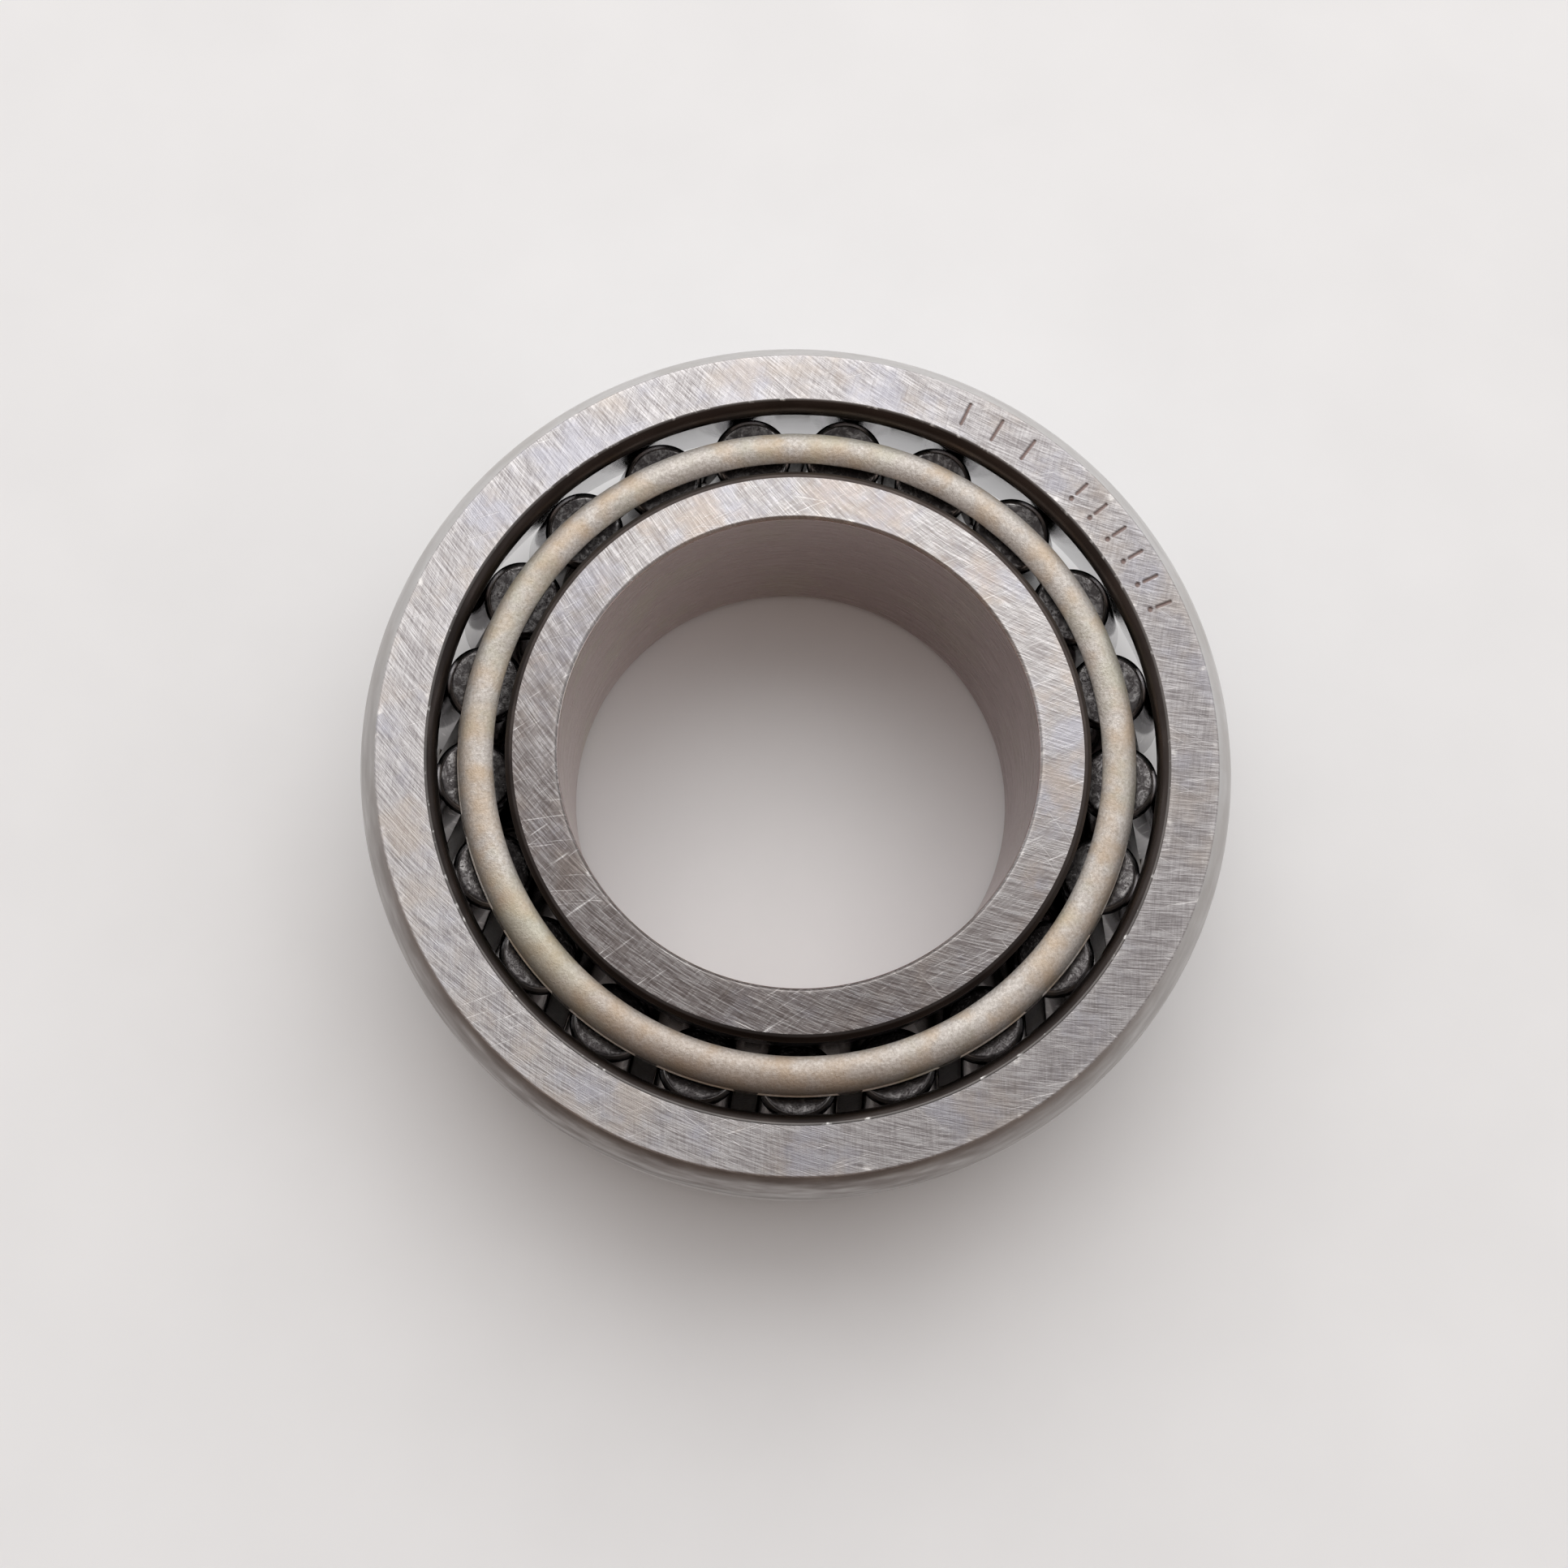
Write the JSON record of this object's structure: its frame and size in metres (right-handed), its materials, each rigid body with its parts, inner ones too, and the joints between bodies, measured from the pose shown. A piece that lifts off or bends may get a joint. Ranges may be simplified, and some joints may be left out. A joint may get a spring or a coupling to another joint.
{
  "type": "tapered roller bearing",
  "caption": "Single-row tapered roller bearing: separable outer ring, inner ring with ribs, tapered rollers in a pressed steel cage.",
  "frame": {"origin": "centre of the inner ring's back face, which stands on z = 0", "axes": "+Z along the bearing's axis, out through the outer ring's back face and the inner ring's front face; +X towards the gap beside the first roller"},
  "size_m": [0.055, 0.055, 0.017],
  "materials": {
    "ground_steel": "hardened bearing steel, ground faces, turned corners",
    "cage_steel": "pressed mild steel, tumbled matt",
    "roller_steel": "hardened bearing steel, ground and lapped bright"
  },
  "bodies": {
    "cone": {"cone": "ground_steel"},
    "cup": {"cup": "ground_steel"},
    "cage": {"cage": "cage_steel"},
    "roller_01": {"roller_01": "roller_steel"},
    "roller_02": {"roller_02": "roller_steel"},
    "roller_03": {"roller_03": "roller_steel"},
    "roller_04": {"roller_04": "roller_steel"},
    "roller_05": {"roller_05": "roller_steel"},
    "roller_06": {"roller_06": "roller_steel"},
    "roller_07": {"roller_07": "roller_steel"},
    "roller_08": {"roller_08": "roller_steel"},
    "roller_09": {"roller_09": "roller_steel"},
    "roller_10": {"roller_10": "roller_steel"},
    "roller_11": {"roller_11": "roller_steel"},
    "roller_12": {"roller_12": "roller_steel"},
    "roller_13": {"roller_13": "roller_steel"},
    "roller_14": {"roller_14": "roller_steel"},
    "roller_15": {"roller_15": "roller_steel"},
    "roller_16": {"roller_16": "roller_steel"},
    "roller_17": {"roller_17": "roller_steel"},
    "roller_18": {"roller_18": "roller_steel"},
    "roller_19": {"roller_19": "roller_steel"},
    "roller_20": {"roller_20": "roller_steel"},
    "roller_21": {"roller_21": "roller_steel"}
  },
  "joints": [
    {"name": "cup_spin", "type": "hinge", "parent": "cone", "child": "cup", "pos_m": [0, 0, 0.0105], "axis": [0, 0, 1], "continuous": true},
    {"name": "cage_spin", "type": "hinge", "parent": "cone", "child": "cage", "pos_m": [0, 0, 0.009], "axis": [0, 0, 1], "continuous": true},
    {"name": "roller_01_spin", "type": "hinge", "parent": "cage", "child": "roller_01", "pos_m": [0.02124, 0.00471, 0.00883], "axis": [-0.2403, -0.0533, 0.9692], "continuous": true},
    {"name": "roller_02_spin", "type": "hinge", "parent": "cage", "child": "roller_02", "pos_m": [0.01891, 0.01076, 0.00883], "axis": [-0.2139, -0.1217, 0.9692], "continuous": true},
    {"name": "roller_03_spin", "type": "hinge", "parent": "cage", "child": "roller_03", "pos_m": [0.0149, 0.01585, 0.00883], "axis": [-0.1685, -0.1794, 0.9692], "continuous": true},
    {"name": "roller_04_spin", "type": "hinge", "parent": "cage", "child": "roller_04", "pos_m": [0.00956, 0.01954, 0.00883], "axis": [-0.1082, -0.2211, 0.9692], "continuous": true},
    {"name": "roller_05_spin", "type": "hinge", "parent": "cage", "child": "roller_05", "pos_m": [0.00338, 0.02149, 0.00883], "axis": [-0.0382, -0.2432, 0.9692], "continuous": true},
    {"name": "roller_06_spin", "type": "hinge", "parent": "cage", "child": "roller_06", "pos_m": [-0.00311, 0.02153, 0.00883], "axis": [0.0352, -0.2436, 0.9692], "continuous": true},
    {"name": "roller_07_spin", "type": "hinge", "parent": "cage", "child": "roller_07", "pos_m": [-0.00932, 0.01966, 0.00883], "axis": [0.1054, -0.2224, 0.9692], "continuous": true},
    {"name": "roller_08_spin", "type": "hinge", "parent": "cage", "child": "roller_08", "pos_m": [-0.0147, 0.01604, 0.00883], "axis": [0.1663, -0.1815, 0.9692], "continuous": true},
    {"name": "roller_09_spin", "type": "hinge", "parent": "cage", "child": "roller_09", "pos_m": [-0.01877, 0.01099, 0.00883], "axis": [0.2124, -0.1244, 0.9692], "continuous": true},
    {"name": "roller_10_spin", "type": "hinge", "parent": "cage", "child": "roller_10", "pos_m": [-0.02118, 0.00497, 0.00883], "axis": [0.2396, -0.0563, 0.9692], "continuous": true},
    {"name": "roller_11_spin", "type": "hinge", "parent": "cage", "child": "roller_11", "pos_m": [-0.0217, -0.00149, 0.00883], "axis": [0.2456, 0.0169, 0.9692], "continuous": true},
    {"name": "roller_12_spin", "type": "hinge", "parent": "cage", "child": "roller_12", "pos_m": [-0.0203, -0.00782, 0.00883], "axis": [0.2297, 0.0885, 0.9692], "continuous": true},
    {"name": "roller_13_spin", "type": "hinge", "parent": "cage", "child": "roller_13", "pos_m": [-0.01709, -0.01346, 0.00883], "axis": [0.1934, 0.1523, 0.9692], "continuous": true},
    {"name": "roller_14_spin", "type": "hinge", "parent": "cage", "child": "roller_14", "pos_m": [-0.01237, -0.0179, 0.00883], "axis": [0.1399, 0.2025, 0.9692], "continuous": true},
    {"name": "roller_15_spin", "type": "hinge", "parent": "cage", "child": "roller_15", "pos_m": [-0.00654, -0.02075, 0.00883], "axis": [0.074, 0.2348, 0.9692], "continuous": true},
    {"name": "roller_16_spin", "type": "hinge", "parent": "cage", "child": "roller_16", "pos_m": [-0.00014, -0.02175, 0.00883], "axis": [0.0015, 0.2461, 0.9692], "continuous": true},
    {"name": "roller_17_spin", "type": "hinge", "parent": "cage", "child": "roller_17", "pos_m": [0.00628, -0.02083, 0.00883], "axis": [-0.0711, 0.2357, 0.9692], "continuous": true},
    {"name": "roller_18_spin", "type": "hinge", "parent": "cage", "child": "roller_18", "pos_m": [0.01214, -0.01805, 0.00883], "axis": [-0.1374, 0.2042, 0.9692], "continuous": true},
    {"name": "roller_19_spin", "type": "hinge", "parent": "cage", "child": "roller_19", "pos_m": [0.01692, -0.01367, 0.00883], "axis": [-0.1915, 0.1547, 0.9692], "continuous": true},
    {"name": "roller_20_spin", "type": "hinge", "parent": "cage", "child": "roller_20", "pos_m": [0.0202, -0.00807, 0.00883], "axis": [-0.2286, 0.0914, 0.9692], "continuous": true},
    {"name": "roller_21_spin", "type": "hinge", "parent": "cage", "child": "roller_21", "pos_m": [0.02168, -0.00176, 0.00883], "axis": [-0.2453, 0.0199, 0.9692], "continuous": true}
  ],
  "couplings": [
    {"joint": "cage_spin", "follows": "cup_spin", "ratio": 0.56015},
    {"joint": "roller_01_spin", "follows": "cup_spin", "ratio": 3.97},
    {"joint": "roller_02_spin", "follows": "cup_spin", "ratio": 3.97},
    {"joint": "roller_03_spin", "follows": "cup_spin", "ratio": 3.97},
    {"joint": "roller_04_spin", "follows": "cup_spin", "ratio": 3.97},
    {"joint": "roller_05_spin", "follows": "cup_spin", "ratio": 3.97},
    {"joint": "roller_06_spin", "follows": "cup_spin", "ratio": 3.97},
    {"joint": "roller_07_spin", "follows": "cup_spin", "ratio": 3.97},
    {"joint": "roller_08_spin", "follows": "cup_spin", "ratio": 3.97},
    {"joint": "roller_09_spin", "follows": "cup_spin", "ratio": 3.97},
    {"joint": "roller_10_spin", "follows": "cup_spin", "ratio": 3.97},
    {"joint": "roller_11_spin", "follows": "cup_spin", "ratio": 3.97},
    {"joint": "roller_12_spin", "follows": "cup_spin", "ratio": 3.97},
    {"joint": "roller_13_spin", "follows": "cup_spin", "ratio": 3.97},
    {"joint": "roller_14_spin", "follows": "cup_spin", "ratio": 3.97},
    {"joint": "roller_15_spin", "follows": "cup_spin", "ratio": 3.97},
    {"joint": "roller_16_spin", "follows": "cup_spin", "ratio": 3.97},
    {"joint": "roller_17_spin", "follows": "cup_spin", "ratio": 3.97},
    {"joint": "roller_18_spin", "follows": "cup_spin", "ratio": 3.97},
    {"joint": "roller_19_spin", "follows": "cup_spin", "ratio": 3.97},
    {"joint": "roller_20_spin", "follows": "cup_spin", "ratio": 3.97},
    {"joint": "roller_21_spin", "follows": "cup_spin", "ratio": 3.97}
  ]
}
